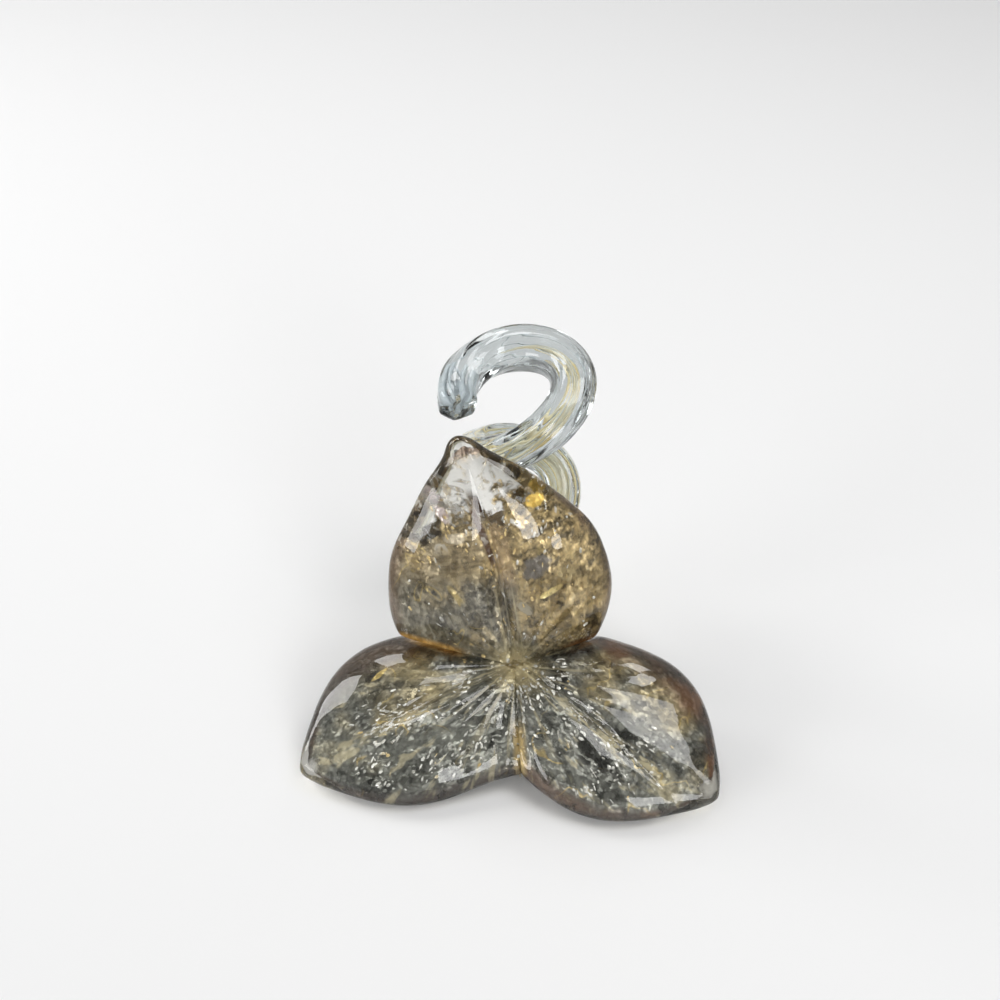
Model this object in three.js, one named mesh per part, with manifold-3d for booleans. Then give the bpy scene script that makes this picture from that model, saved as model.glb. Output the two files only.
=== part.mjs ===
// Art glass flower: three cased petals fused round a heart, on a twisted rod stem wound into a coil.
// Millimetres, +Z up, seen along +Y. It leans back and rests on two petals and the foot of the stem.
import * as THREE from 'three';
import { mergeVertices } from 'three/addons/utils/BufferGeometryUtils.js';
import Module from 'manifold-3d';

// Flower: where its face points, and the seams between the petals as seen from in front
const LEAN = 40; // degrees that the flower faces above the horizontal
const SEAM_TOP_RIGHT = 19; // degrees round the flower from +X
const SEAM_TOP_LEFT = 165;
const SEAM_LOW = 273;
const SEAM_GAP = 0.3;
const REST_FLAT_DEPTH = 0.7;

// Petals: length from the heart, half width, and how each one is set
const TOP_LENGTH = 73.5;
const TOP_HALF_WIDTH = 32.4;
const TOP_DIRECTION = 99.3; // degrees round the flower
const TOP_CUP = 21; // degrees that the petal rises towards the front
const TOP_TIP_LEAN = 5.5; // to the left, at the tip
const TOP_SKEW = 1.2; // how much wider the left half is at the root
const LEFT_LENGTH = 70;
const LEFT_HALF_WIDTH = 26;
const LEFT_DIRECTION = 205.5;
const LEFT_CUP = 12;
const LEFT_ROLL = 28; // degrees that the petal turns about its midrib to lie flat
const LEFT_WEB = 24; // how much wider the petal is at its root, along the seam that the lower two share
const RIGHT_LENGTH = 71;
const RIGHT_HALF_WIDTH = 27.5;
const RIGHT_DIRECTION = -32;
const RIGHT_CUP = 18;
const RIGHT_ROLL = -28;
const RIGHT_WEB = -10;
const WEB_FADE = 4; // power at which the width of a web fades out towards the tip
const FRONT_FULLNESS = 10.5; // greatest thickness in front of the midplane
const BACK_FULLNESS = 9.5;
const RIB_WIDTH = 5;
const FRONT_RIB_DEPTH = 3;
const BACK_RIB_DEPTH = 1.4;
const NUB_START = 0.94; // share of the length where the tip starts to round off
const ROOT_START = -0.07; // share of the length behind the heart where the petal starts

// Foil gathers inside the petals
const RIM_WALL = 2.4;
const FACE_WALL = 2.4;
const SEAM_WALL = 1.2;
const FOIL_GAP = 0.3;
const FOIL_ROUND_START = 0.66; // shares of the petal's length
const FOIL_END = 0.87;

// Heart: a thin neck between the petals, flared into a boss behind them that the stem is fused to
const HEART_NECK_RADIUS = 3;
const HEART_FRONT = 3.8;
const FLARE_END = 3.3; // behind the middle of the flower
const BOSS_LIP = 1.7; // how far the boss stands out round the stem
const BOSS_PROUD = 1.5; // how far it stands out behind the petals
const HEART_GAP = 0.3;

// Stem: a fluted, twisted rod with threads inside
const STEM_BASE_RADIUS = 6.8;
const STEM_LOOP_RADIUS = 6.2;
const STEM_HOOK_RADIUS = 6.9;
const STEM_END_RADIUS = 5.7;
const STEM_END_BEVEL = 1.6;
const LOOP_PLACE = 0.65; // shares of the stem's length
const HOOK_PLACE = 0.86;
const FLUTES = 6;
const FLUTE_DEPTH = 0.35;
const TWIST_LENGTH = 110; // of rod for one whole turn of the flutes
const THREAD_BASE_RADIUS = 3.4;
const THREAD_END_RADIUS = 1.6;
const THREAD_LOBES = 3;
const THREAD_LOBE_DEPTH = 0.4;
const THREAD_REACH = 0.8; // share of the stem's length that holds threads
const THREAD_GAP = 0.3;

// Route of the stem: down to its foot, up behind the top petal and round the coil
const FOOT_BACK = 14;
const FOOT_SIDE = -1.5;
const FOOT_HEADING = 17; // degrees to the left of straight back
const ROOT_RUN = 8;
const FOOT_RUN = 14;
const RISE_RUN = 22;
const COIL_CLEARANCE = 1.5;
const COIL_BASE_SIDE = 2.5; // the axis starts this far to the right and leans upright
const COIL_BASE_RADIUS = 12;
const COIL_TOP_RADIUS = 17.2;
const COIL_WIDEN_TURNS = 1.25;
const COIL_RISE = 12.5; // from the heart to the start of the coil
const COIL_PITCH = 41.5;
const COIL_DIP = 3; // how far each turn dips to the left and rises to the right
const COIL_START_TURN = 0.07;
const COIL_END_TURN = 1.81;
const HOOK_START_TURN = 1.08;
const HOOK_LEVEL_TURN = 1.55;

// Fineness of the facets
const PETAL_SIDES = 28;
const PETAL_STATIONS = 18;
const FOIL_SIDES = 20;
const FOIL_STATIONS = 12;
const STATION_EASE = 1.5; // above 1, stations close up towards a petal's tip
const STEM_SIDES = 18;
const STEM_STATIONS = 66;
const THREAD_SIDES = 9;
const HEART_SIDES = 20;
const FLARE_STEPS = 6;
const DOME_STEPS = 4;
const WELD = 1e-4;
const FAR = 400; // past every piece

const wasm = await Module();
wasm.setup();
const radians = THREE.MathUtils.degToRad;

// A value that runs smoothly through knots
function profile(places, values) {
  const curve = new THREE.CubicInterpolant(places, values, 1);
  return (place) => curve.evaluate(place)[0];
}

// Half width of a petal along its length, as a share of the greatest: a spade drawn out to a nub for
// the top petal, and a rounder lobe for the two that it stands on
const spade = profile([-0.1, 0, 0.14, 0.28, 0.43, 0.57, 0.71, 0.82, 0.94, 1],
  [0.5, 0.7, 0.9, 1, 0.985, 0.89, 0.66, 0.455, 0.175, 0.12]);
const lobe = profile([-0.1, 0, 0.14, 0.28, 0.43, 0.55, 0.68, 0.79, 0.89, 0.96, 1],
  [0.45, 0.6, 0.77, 0.89, 0.985, 1, 0.9, 0.7, 0.43, 0.22, 0.12]);
// Thickness along the length, as a share of the greatest
const fullness = profile([-0.1, 0, 0.15, 0.35, 0.6, 0.8, 0.94, 1],
  [0.45, 0.5, 0.8, 1, 0.95, 0.68, 0.42, 0.36]);

const PETALS = [
  {
    name: 'petal_top', from: SEAM_TOP_RIGHT, to: SEAM_TOP_LEFT, direction: TOP_DIRECTION,
    length: TOP_LENGTH, halfWidth: TOP_HALF_WIDTH, cup: TOP_CUP, roll: 0,
    outline: spade, tipLean: TOP_TIP_LEAN, skew: TOP_SKEW, web: 0,
  },
  {
    name: 'petal_left', from: SEAM_TOP_LEFT, to: SEAM_LOW, direction: LEFT_DIRECTION,
    length: LEFT_LENGTH, halfWidth: LEFT_HALF_WIDTH, cup: LEFT_CUP, roll: LEFT_ROLL,
    outline: lobe, tipLean: 0, skew: 0, web: LEFT_WEB,
  },
  {
    name: 'petal_right', from: SEAM_LOW - 360, to: SEAM_TOP_RIGHT, direction: RIGHT_DIRECTION,
    length: RIGHT_LENGTH, halfWidth: RIGHT_HALF_WIDTH, cup: RIGHT_CUP, roll: RIGHT_ROLL,
    outline: lobe, tipLean: 0, skew: 0, web: RIGHT_WEB,
  },
];

// One vertex for each place, and no triangle that has shrunk to a line
function weld(geometry) {
  const bare = geometry.clone();
  bare.deleteAttribute('normal');
  bare.deleteAttribute('uv');
  const merged = mergeVertices(bare, WELD);
  const corners = merged.index.array;
  const kept = [];
  for (let i = 0; i < corners.length; i += 3) {
    const [a, b, c] = corners.slice(i, i + 3);
    if (a !== b && b !== c && c !== a) kept.push(a, b, c);
  }
  merged.setIndex(kept);
  return merged;
}

function solidOf(geometry) {
  const welded = weld(geometry);
  const vertProperties = new Float32Array(welded.attributes.position.array);
  const triVerts = new Uint32Array(welded.index.array);
  return new wasm.Manifold(new wasm.Mesh({ numProp: 3, vertProperties, triVerts }));
}

function geometryOf(solid) {
  const mesh = solid.getMesh();
  const geometry = new THREE.BufferGeometry();
  geometry.setAttribute('position', new THREE.BufferAttribute(mesh.vertProperties, mesh.numProp));
  geometry.setIndex(new THREE.BufferAttribute(mesh.triVerts, 1));
  geometry.computeVertexNormals();
  return geometry;
}

// Closed skin over a row of rings, with a fan across each end
function loft(rings) {
  const sides = rings[0].length;
  const points = rings.flat();
  const triangles = [];
  for (let ring = 0; ring < rings.length - 1; ring += 1) {
    for (let side = 0; side < sides; side += 1) {
      const a = ring * sides + side;
      const b = ring * sides + ((side + 1) % sides);
      triangles.push(a, b, b + sides, a, b + sides, a + sides);
    }
  }
  for (const isLast of [false, true]) {
    const ring = isLast ? rings.length - 1 : 0;
    const sum = rings[ring].reduce((total, point) => total.add(point), new THREE.Vector3());
    points.push(sum.divideScalar(sides));
    for (let side = 0; side < sides; side += 1) {
      const a = ring * sides + side;
      const b = ring * sides + ((side + 1) % sides);
      triangles.push(points.length - 1, isLast ? a : b, isLast ? b : a);
    }
  }
  const geometry = new THREE.BufferGeometry().setFromPoints(points);
  geometry.setIndex(triangles);
  return geometry;
}

// 1 up to start, then down to 0 at end like a quarter circle
function roundOff(place, { start, end }) {
  const run = Math.max(0, (place - start) / (end - start));
  return Math.sqrt(Math.max(0, 1 - run * run));
}

// One ring of a petal: X along the midrib, Y across it, Z out of its face.
// Both faces are pressed in along the midrib, less and less towards the tip.
function petalRing(petal, place, tip, walls, sides) {
  const taper = roundOff(place, tip);
  const spread = petal.halfWidth * petal.outline(place);
  const skew = petal.skew * (1 - place) ** 2;
  const web = petal.web * (1 - place) ** WEB_FADE;
  const full = fullness(place);
  const pressed = full * Math.min(1, 2 * (1 - place));
  const ring = [];
  for (let side = 0; side < sides; side += 1) {
    const turn = (2 * Math.PI * side) / sides;
    const isFront = Math.sin(turn) >= 0;
    const depth = isFront ? FRONT_FULLNESS : BACK_FULLNESS;
    const rib = isFront ? FRONT_RIB_DEPTH : BACK_RIB_DEPTH;
    const halfSide = Math.sign(Math.cos(turn));
    const half = (spread + halfSide * skew + Math.max(0, halfSide * web) - walls.rim) * taper;
    const across = half * Math.cos(turn);
    const groove = pressed * rib * Math.exp(-((across / RIB_WIDTH) ** 2));
    ring.push(new THREE.Vector3(
      petal.length * place,
      across + petal.tipLean * place ** 4,
      (depth * full - walls.face - groove) * Math.sin(turn) * taper,
    ));
  }
  return ring;
}

// A petal's skin from behind the heart to its tip, turned to its place in the flower
function petalSkin(petal, tip, walls, sides, stations) {
  const rings = [];
  for (let station = 0; station <= stations; station += 1) {
    const ease = 1 - (1 - station / (stations + 0.5)) ** STATION_EASE;
    const place = ROOT_START + (tip.end - ROOT_START) * ease;
    rings.push(petalRing(petal, place, tip, walls, sides));
  }
  const turns = [petal.roll, -petal.cup, petal.direction].map(radians);
  const set = new THREE.Matrix4().makeRotationFromEuler(new THREE.Euler(...turns, 'ZYX'));
  return solidOf(loft(rings).applyMatrix4(set));
}

// The sector of the flower that a petal fills, drawn in from both seams
function sector(petal, inset) {
  const from = radians(petal.from);
  const to = radians(petal.to);
  const middle = (from + to) / 2;
  const apex = inset / Math.sin((to - from) / 2);
  const shape = new THREE.Shape([
    new THREE.Vector2(0, 0),
    new THREE.Vector2(Math.cos(from), Math.sin(from)).multiplyScalar(FAR),
    new THREE.Vector2(Math.cos(middle), Math.sin(middle)).multiplyScalar(2 * FAR),
    new THREE.Vector2(Math.cos(to), Math.sin(to)).multiplyScalar(FAR),
  ]);
  const block = new THREE.ExtrudeGeometry(shape, { depth: 2 * FAR, bevelEnabled: false });
  block.translate(apex * Math.cos(middle), apex * Math.sin(middle), -FAR);
  return solidOf(block);
}

const heartBack = BACK_FULLNESS + BOSS_PROUD;

// The heart turned about the flower's axis, grown all round by a gap
function heartSolid(gap) {
  const neck = HEART_NECK_RADIUS + gap;
  const boss = STEM_BASE_RADIUS + BOSS_LIP + gap;
  const lip = BOSS_LIP - heartBack;
  const waist = (lip - FLARE_END) / 2 + gap;
  const flare = new THREE.CubicBezierCurve(
    new THREE.Vector2(boss, lip),
    new THREE.Vector2(boss, waist),
    new THREE.Vector2(neck, waist),
    new THREE.Vector2(neck, gap - FLARE_END),
  );
  const dome = new THREE.EllipseCurve(0, HEART_FRONT + gap - neck, neck, neck, 0, Math.PI / 2);
  const outline = [
    new THREE.Vector2(0, -heartBack - gap),
    new THREE.Vector2(boss - BOSS_LIP, -heartBack - gap),
    ...flare.getPoints(FLARE_STEPS),
    ...dome.getPoints(DOME_STEPS),
  ];
  outline.at(-1).x = 0;
  const turned = new THREE.LatheGeometry(outline, HEART_SIDES);
  turned.rotateX(Math.PI / 2);
  return solidOf(turned);
}

// The coil rises round an axis, opens out, and levels off into the hook
class Coil extends THREE.Curve {
  constructor(axisBack, base) {
    super();
    this.axisBack = axisBack;
    this.base = base;
  }

  getPoint(share, target = new THREE.Vector3()) {
    const turn = COIL_START_TURN + (COIL_END_TURN - COIL_START_TURN) * share;
    const angle = 2 * Math.PI * turn;
    const widen = Math.min(1, turn / COIL_WIDEN_TURNS) ** 2;
    const radius = COIL_BASE_RADIUS + (COIL_TOP_RADIUS - COIL_BASE_RADIUS) * widen;
    const past = Math.max(0, turn - HOOK_START_TURN);
    const levelling = past ** 2 / (2 * (HOOK_LEVEL_TURN - HOOK_START_TURN));
    return target.set(
      COIL_BASE_SIDE * (1 - widen) + radius * Math.sin(angle),
      this.axisBack - radius * Math.cos(angle),
      this.base + COIL_PITCH * (turn - levelling) + COIL_DIP * Math.sin(angle),
    );
  }
}

// The whole route of the stem: from its seat on the boss to its foot, up into the coil, round to the
// end of the hook. The coil stands clear behind the top petal.
function stemRoute(centre, facing, petalBack) {
  const seat = centre.clone().addScaledVector(facing, -heartBack - HEART_GAP);
  const left = radians(FOOT_HEADING);
  const heading = new THREE.Vector3(-Math.sin(left), Math.cos(left), 0);
  const footHeight = STEM_BASE_RADIUS - FLUTE_DEPTH - REST_FLAT_DEPTH;
  const foot = new THREE.Vector3(FOOT_SIDE, seat.y + FOOT_BACK, footHeight);
  const axisBack = petalBack + COIL_CLEARANCE + STEM_LOOP_RADIUS + COIL_TOP_RADIUS;
  const coil = new Coil(axisBack, centre.z + COIL_RISE);
  const join = coil.getPoint(0);
  const route = new THREE.CurvePath();
  route.add(new THREE.CubicBezierCurve3(
    seat,
    seat.clone().addScaledVector(facing, -ROOT_RUN),
    foot.clone().addScaledVector(heading, -ROOT_RUN),
    foot,
  ));
  route.add(new THREE.CubicBezierCurve3(
    foot,
    foot.clone().addScaledVector(heading, FOOT_RUN),
    join.clone().addScaledVector(coil.getTangent(0), -RISE_RUN),
    join,
  ));
  route.add(coil);
  return route;
}

// Points evenly along the route, each with two directions across it that turn no more than it does
function framesAlong(route) {
  const points = route.getSpacedPoints(STEM_STATIONS);
  let across = new THREE.Vector3(1, 0, 0);
  return points.map((point, i) => {
    const before = points[Math.max(0, i - 1)];
    const after = points[Math.min(STEM_STATIONS, i + 1)];
    const along = after.clone().sub(before).normalize();
    across = across.clone().addScaledVector(along, -across.dot(along)).normalize();
    return { point, along, across, up: along.clone().cross(across) };
  });
}

function movedAlong(frame, distance) {
  return { ...frame, point: frame.point.clone().addScaledVector(frame.along, distance) };
}

// A lobed ring across the rod, turned with the twist
function rodRing(frame, radius, lobes, lobeDepth, twist, sides) {
  const ring = [];
  for (let i = 0; i < sides; i += 1) {
    const turn = (2 * Math.PI * i) / sides;
    const reach = radius + lobeDepth * Math.cos(lobes * turn);
    ring.push(frame.point.clone()
      .addScaledVector(frame.across, reach * Math.cos(turn + twist))
      .addScaledVector(frame.up, reach * Math.sin(turn + twist)));
  }
  return ring;
}

// The least gap between two stretches of the rod that are about half a turn apart or more
function leastSelfGap(frames, radii, spacing) {
  const apart = Math.ceil((Math.PI * COIL_BASE_RADIUS) / spacing);
  let least = Infinity;
  for (let i = 0; i < frames.length; i += 1) {
    for (let j = i + apart; j < frames.length; j += 1) {
      const between = frames[i].point.distanceTo(frames[j].point);
      least = Math.min(least, between - radii[i] - radii[j] - 2 * FLUTE_DEPTH);
    }
  }
  return least;
}

// The rod, thick at its root and full over the hook, bored for the threads that run up from the root
function stemSolids(route) {
  const lengths = route.getCurveLengths();
  const length = lengths.at(-1);
  const rodRadius = profile([0, lengths[1] / length, LOOP_PLACE, HOOK_PLACE, 1],
    [STEM_BASE_RADIUS, STEM_LOOP_RADIUS, STEM_LOOP_RADIUS, STEM_HOOK_RADIUS, STEM_END_RADIUS]);
  const frames = framesAlong(route);
  const shares = frames.map((_, i) => i / STEM_STATIONS);
  const twists = shares.map((share) => (-2 * Math.PI * share * length) / TWIST_LENGTH);
  const radii = shares.map(rodRadius);
  const gap = leastSelfGap(frames, radii, length / STEM_STATIONS);
  console.log('least gap of the stem to itself, mm:', gap.toFixed(2));

  const fluted = (frame, radius, twist) => (
    rodRing(frame, radius, FLUTES, FLUTE_DEPTH, twist, STEM_SIDES));
  const rod = frames.map((frame, i) => fluted(frame, radii[i], twists[i]));
  const sheared = movedAlong(frames.at(-1), STEM_END_BEVEL);
  rod.push(fluted(sheared, STEM_END_RADIUS - STEM_END_BEVEL, twists.at(-1)));

  const count = Math.round(THREAD_REACH * STEM_STATIONS);
  const threadRing = (frame, i, room) => {
    const radius = THREE.MathUtils.lerp(THREAD_BASE_RADIUS, THREAD_END_RADIUS, i / count) + room;
    return rodRing(frame, radius, THREAD_LOBES, THREAD_LOBE_DEPTH, twists[i], THREAD_SIDES);
  };
  const threaded = frames.slice(0, count + 1);
  const threads = threaded.map((frame, i) => threadRing(frame, i, 0));
  const bore = threaded.map((frame, i) => threadRing(frame, i, THREAD_GAP));
  bore.unshift(threadRing(movedAlong(frames[0], -THREAD_GAP), 0, THREAD_GAP));
  bore.push(threadRing(movedAlong(frames[count], THREAD_GAP), count, THREAD_GAP));
  return { casing: solidOf(loft(rod)).subtract(solidOf(loft(bore))), core: solidOf(loft(threads)) };
}

function glass(colour, roughness, metalness) {
  return new THREE.MeshStandardMaterial({ color: colour, roughness, metalness });
}

const clearGlass = glass('#d8cdb0', 0.06, 0);
const foilGlass = glass('#857a55', 0.35, 0.5);
const heartGlass = glass('#9c8344', 0.2, 0.3);
const stemGlass = glass('#cdd3d0', 0.06, 0);
const threadGlass = glass('#d9cda0', 0.3, 0.2);

function named(name, solid, material) {
  const mesh = new THREE.Mesh(geometryOf(solid), material);
  mesh.name = name;
  return mesh;
}

// The petals' bodies come first, because the two lower ones set how high the flower stands
const nub = { start: NUB_START, end: 1 };
const noWalls = { rim: 0, face: 0 };
const bodies = PETALS.map((petal) => (
  petalSkin(petal, nub, noWalls, PETAL_SIDES, PETAL_STATIONS).intersect(sector(petal, SEAM_GAP / 2))));
const tilt = new THREE.Matrix4().makeRotationX(radians(90 - LEAN));
const [topBox, leftBox, rightBox] = bodies.map((body) => {
  const tilted = geometryOf(body).applyMatrix4(tilt);
  tilted.computeBoundingBox();
  return tilted.boundingBox;
});
const centre = new THREE.Vector3(0, 0, -Math.max(leftBox.min.z, rightBox.min.z) - REST_FLAT_DEPTH);
const facing = new THREE.Vector3(0, 0, 1).transformDirection(tilt);

const flower = new THREE.Group();
flower.applyMatrix4(tilt);
flower.position.copy(centre);
flower.updateMatrixWorld();

// What lies below the surface that the ornament rests on, also as the tilted flower meets it
const below = new THREE.BoxGeometry(2 * FAR, 2 * FAR, FAR).translate(0, 0, -FAR / 2);
const belowStem = solidOf(below);
const belowFlower = solidOf(below.clone().applyMatrix4(flower.matrixWorld.clone().invert()));
const heartRoom = heartSolid(HEART_GAP);

PETALS.forEach((petal, i) => {
  const foilTip = { start: FOIL_ROUND_START, end: FOIL_END };
  const foilWalls = { rim: RIM_WALL, face: FACE_WALL };
  const roomTip = { start: FOIL_ROUND_START, end: FOIL_END + FOIL_GAP / petal.length };
  const roomWalls = { rim: RIM_WALL - FOIL_GAP, face: FACE_WALL - FOIL_GAP };
  const inset = SEAM_GAP / 2 + SEAM_WALL;
  const room = petalSkin(petal, roomTip, roomWalls, FOIL_SIDES, FOIL_STATIONS)
    .intersect(sector(petal, inset));
  const foil = petalSkin(petal, foilTip, foilWalls, FOIL_SIDES, FOIL_STATIONS)
    .intersect(sector(petal, inset + FOIL_GAP));
  const casing = bodies[i].subtract(room).subtract(heartRoom).subtract(belowFlower);
  flower.add(named(`${petal.name}_casing`, casing, clearGlass));
  flower.add(named(`${petal.name}_core`, foil.subtract(heartRoom), foilGlass));
});
flower.add(named('heart', heartSolid(0), heartGlass));

const stem = new THREE.Group();
const { casing: rod, core: threads } = stemSolids(stemRoute(centre, facing, topBox.max.y));
stem.add(named('stem_casing', rod.subtract(belowStem), stemGlass));
stem.add(named('stem_core', threads, threadGlass));

// The origin is under the middle of the whole ornament, on the surface that it rests on
const ornament = new THREE.Group();
ornament.add(flower, stem);
ornament.updateMatrixWorld(true);
const middle = new THREE.Box3().setFromObject(ornament, true).getCenter(new THREE.Vector3());
middle.z = 0;
flower.position.sub(middle);
stem.position.sub(middle);

export default ornament;
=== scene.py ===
# Art glass flower: three cased petals with crackled foil inside, fused round a pinched heart, on a
# twisted rod stem that is wound into a coil with a hooked end. Shapes are worked out in millimetres.
import math

import bpy
import numpy as np
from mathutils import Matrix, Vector, noise


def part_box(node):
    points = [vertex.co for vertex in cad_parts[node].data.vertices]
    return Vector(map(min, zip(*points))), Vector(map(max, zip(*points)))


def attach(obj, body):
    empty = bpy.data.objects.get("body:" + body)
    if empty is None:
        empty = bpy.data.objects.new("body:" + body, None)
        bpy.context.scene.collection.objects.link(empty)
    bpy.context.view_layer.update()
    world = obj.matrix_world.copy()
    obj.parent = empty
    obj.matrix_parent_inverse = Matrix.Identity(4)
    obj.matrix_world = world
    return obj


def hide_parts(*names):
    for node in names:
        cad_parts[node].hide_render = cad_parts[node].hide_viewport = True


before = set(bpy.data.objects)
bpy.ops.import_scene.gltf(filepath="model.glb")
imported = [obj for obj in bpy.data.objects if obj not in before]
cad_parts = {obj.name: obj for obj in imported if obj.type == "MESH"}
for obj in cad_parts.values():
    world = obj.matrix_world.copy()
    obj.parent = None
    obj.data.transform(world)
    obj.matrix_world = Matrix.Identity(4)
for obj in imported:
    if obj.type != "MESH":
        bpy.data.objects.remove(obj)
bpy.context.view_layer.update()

MM = 0.001

# Flower: where its face points, and the seams between the petals, in degrees round it from the right
LEAN = math.radians(40)
RIGHT = np.array([1.0, 0.0, 0.0])
FACING = np.array([0.0, -math.cos(LEAN), math.sin(LEAN)])
UPWARD = np.array([0.0, math.sin(LEAN), math.cos(LEAN)])  # up the face of the flower
SEAM_TOP_RIGHT = 19
SEAM_TOP_LEFT = 165
SEAM_LOW = 273
SEAM_PRESS = 1.9  # how deep the front is pressed in along a seam
SEAM_PRESS_WIDTH = 3.4
SEAM_PRESS_START = 9  # from the heart, where the press has its full depth
PETAL_REST_SOFTNESS = 0.5  # how gently a piece turns flat where it rests
STEM_REST_SOFTNESS = 0.3

# Half width of a petal along its length, and its thickness, as places and shares of the greatest
SPADE = (
    [-0.1, 0, 0.14, 0.28, 0.43, 0.57, 0.71, 0.82, 0.94, 1],
    [0.5, 0.7, 0.9, 1, 0.985, 0.89, 0.66, 0.455, 0.175, 0.12],
)
LOBE = (
    [-0.1, 0, 0.14, 0.28, 0.43, 0.55, 0.68, 0.79, 0.89, 0.96, 1],
    [0.45, 0.6, 0.77, 0.89, 0.985, 1, 0.9, 0.7, 0.43, 0.22, 0.12],
)
FULL = ([-0.1, 0, 0.15, 0.35, 0.6, 0.8, 0.94, 1], [0.45, 0.5, 0.8, 1, 0.95, 0.68, 0.42, 0.36])

# Petals: a soft_rib of 1 is a wide hollow along the middle, and of 0 a sharp crease
PETALS = {
    "petal_top": {
        "length": 73.5, "half_width": 32.4, "direction": 99.3, "cup": 21, "roll": 0,
        "outline": SPADE, "lean": 5.5, "skew": 1.2, "web": 0, "rib_turn": 0, "soft_rib": 0.5,
        "seams": (SEAM_TOP_RIGHT, SEAM_TOP_LEFT),
    },
    "petal_left": {
        "length": 70, "half_width": 26, "direction": 205.5, "cup": 12, "roll": 28,
        "outline": LOBE, "lean": 0, "skew": 0, "web": 24, "rib_turn": 0.02, "soft_rib": 0.75,
        "seams": (SEAM_TOP_LEFT, SEAM_LOW),
    },
    "petal_right": {
        "length": 71, "half_width": 27.5, "direction": -32, "cup": 18, "roll": -28,
        "outline": LOBE, "lean": 0, "skew": 0, "web": -10, "rib_turn": -0.15, "soft_rib": 0.1,
        "seams": (SEAM_LOW, SEAM_TOP_RIGHT),
    },
}
FRONT_FULLNESS = 10.5
BACK_FULLNESS = 9.5
FRONT_RIB = 3.0
BACK_RIB = 1.4
SOFT_RIB_WIDTH = 4.4
SHARP_RIB_WIDTH = 1.0
SKEW_FADE = 2  # powers by which skew and web fade out towards the tip, and the lean sets in
WEB_FADE = 4
LEAN_BEND = 4
ROOT_START = -0.03  # share of the length behind the heart where a petal starts
STATION_EASE = 1.7  # above 1, stations close up towards a petal's tip
PLEATS = 9  # waves round the flower; on the petals each makes two pleats
PLEAT_WANDER = 0.09
WANDERS = 5  # round the flower
WANDER_PHASE = 1
PLEAT_FADE = 24  # distances from the heart over which pleats fade out and set in
PLEAT_START = 5
PLEAT_ROUNDING = 0.04
PLEAT_MIDDLE = 0.64
BACK_PLEATS = 0.4  # depth behind, as a share of that in front

# The clear glass of a petal and the foil inside it: walls left outside, and shares of the length
GLASS_LAYER = {
    "stations": 150, "sides": 192, "rim_wall": 0, "face_wall": 0, "round_start": 0.94, "end": 1.0,
    "seam_wall": -0.2, "softness": 1.2, "pleat_depth": 2.0,
}
FOIL_LAYER = {
    "stations": 130, "sides": 160, "rim_wall": 1.1, "face_wall": 1.8, "round_start": 0.8,
    "end": 0.95, "seam_wall": 0.3, "softness": 1.0, "pleat_depth": 1.3,
}
CRACKLE = 0.25
CRACKLE_GRAIN = 0.42  # cells of the pattern to a millimetre, as for every grain here
WRINKLE_GRAIN = 0.9
WRINKLE_SHARE = 0.6
MARK_UNIT = 100  # marks are in tenths of a metre

# Heart: radius and height from the boss behind to the nub in front
HEART_FRONT = 3.8
HEART_BACK = 11.0
HEART_PROFILE = np.array([
    (6.6, -11.0), (7.6, -10.7), (8.3, -10.0), (8.5, -9.2), (8.3, -8.2), (7.2, -7.1), (5.6, -6.2),
    (4.2, -5.3), (3.4, -4.2), (3.05, -3.0), (3.0, -1.5), (3.0, 0.0), (2.95, 1.2), (2.75, 2.2),
    (2.3, 3.0), (1.6, 3.5), (0.8, 3.75), (0.25, 3.8),
])
HEART_STATIONS = 70
HEART_SIDES = 72
HEART_PLEAT = 0.12  # share of the radius
HEART_PLEAT_START = -2  # height
HEART_PLEAT_RUN = 3
HEART_TWIST = 0.5

# Stem: a fluted, twisted rod
STEM_BASE_RADIUS = 6.8
STEM_LOOP_RADIUS = 6.2
STEM_HOOK_RADIUS = 6.9
STEM_END_RADIUS = 5.7
LOOP_PLACE = 0.65  # shares of the stem's length
HOOK_PLACE = 0.86
FLUTES = 6
FLUTE_DEPTH = 0.25
FINE_FLUTES = 18
FINE_FLUTE_DEPTH = 0.04
FINE_FLUTE_PHASE = 0.8
FULL_FLUTE_RADIUS = 5  # below it, flutes are shallower
TWIST_LENGTH = 190  # of rod for one whole turn of the flutes
LINE_LIE = 0.75  # turn of the fine drawn lines, as a share of the flutes'
STEM_STATIONS = 320
STEM_SIDES = 96
END_RINGS = 9
END_REACH = 1.3
END_POINT = 0.06  # share of the radius that the last ring keeps
END_ROUNDING = 0.4
CHIPPED_RINGS = END_RINGS + 4
CHIP_DEPTH = 0.5
CHIP_GRAIN = 0.33
FINE_CHIP_GRAIN = 0.8
FINE_CHIP_SHARE = 0.5

# Route of the stem: down to its foot, up behind the top petal and round the coil
FOOT_BACK = 14
FOOT_SIDE = -1.5
FOOT_HEIGHT = 5.75
FOOT_HEADING = math.radians(17)  # to the left of straight back
ROOT_RUN = 8
FOOT_RUN = 14
RISE_RUN = 22
COIL_CLEARANCE = 1.5
COIL_BASE_SIDE = 2.5  # how far to the right of its top the coil's axis starts
COIL_BASE_RADIUS = 12
COIL_TOP_RADIUS = 17.2
COIL_WIDEN_TURNS = 1.25
COIL_RISE = 12.5  # from the heart to the start of the coil
COIL_PITCH = 41.5
COIL_DIP = 3  # how far each turn dips to the left and rises to the right
COIL_START_TURN = 0.07
COIL_END_TURN = 1.79
HOOK_START_TURN = 1.08
HOOK_LEVEL_TURN = 1.55
BEND_STEPS = 300
COIL_STEPS = 1500


def node_points(name):
    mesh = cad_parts[name].data
    flat = np.empty(3 * len(mesh.vertices))
    mesh.vertices.foreach_get("co", flat)
    return flat.reshape(-1, 3) / MM


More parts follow.
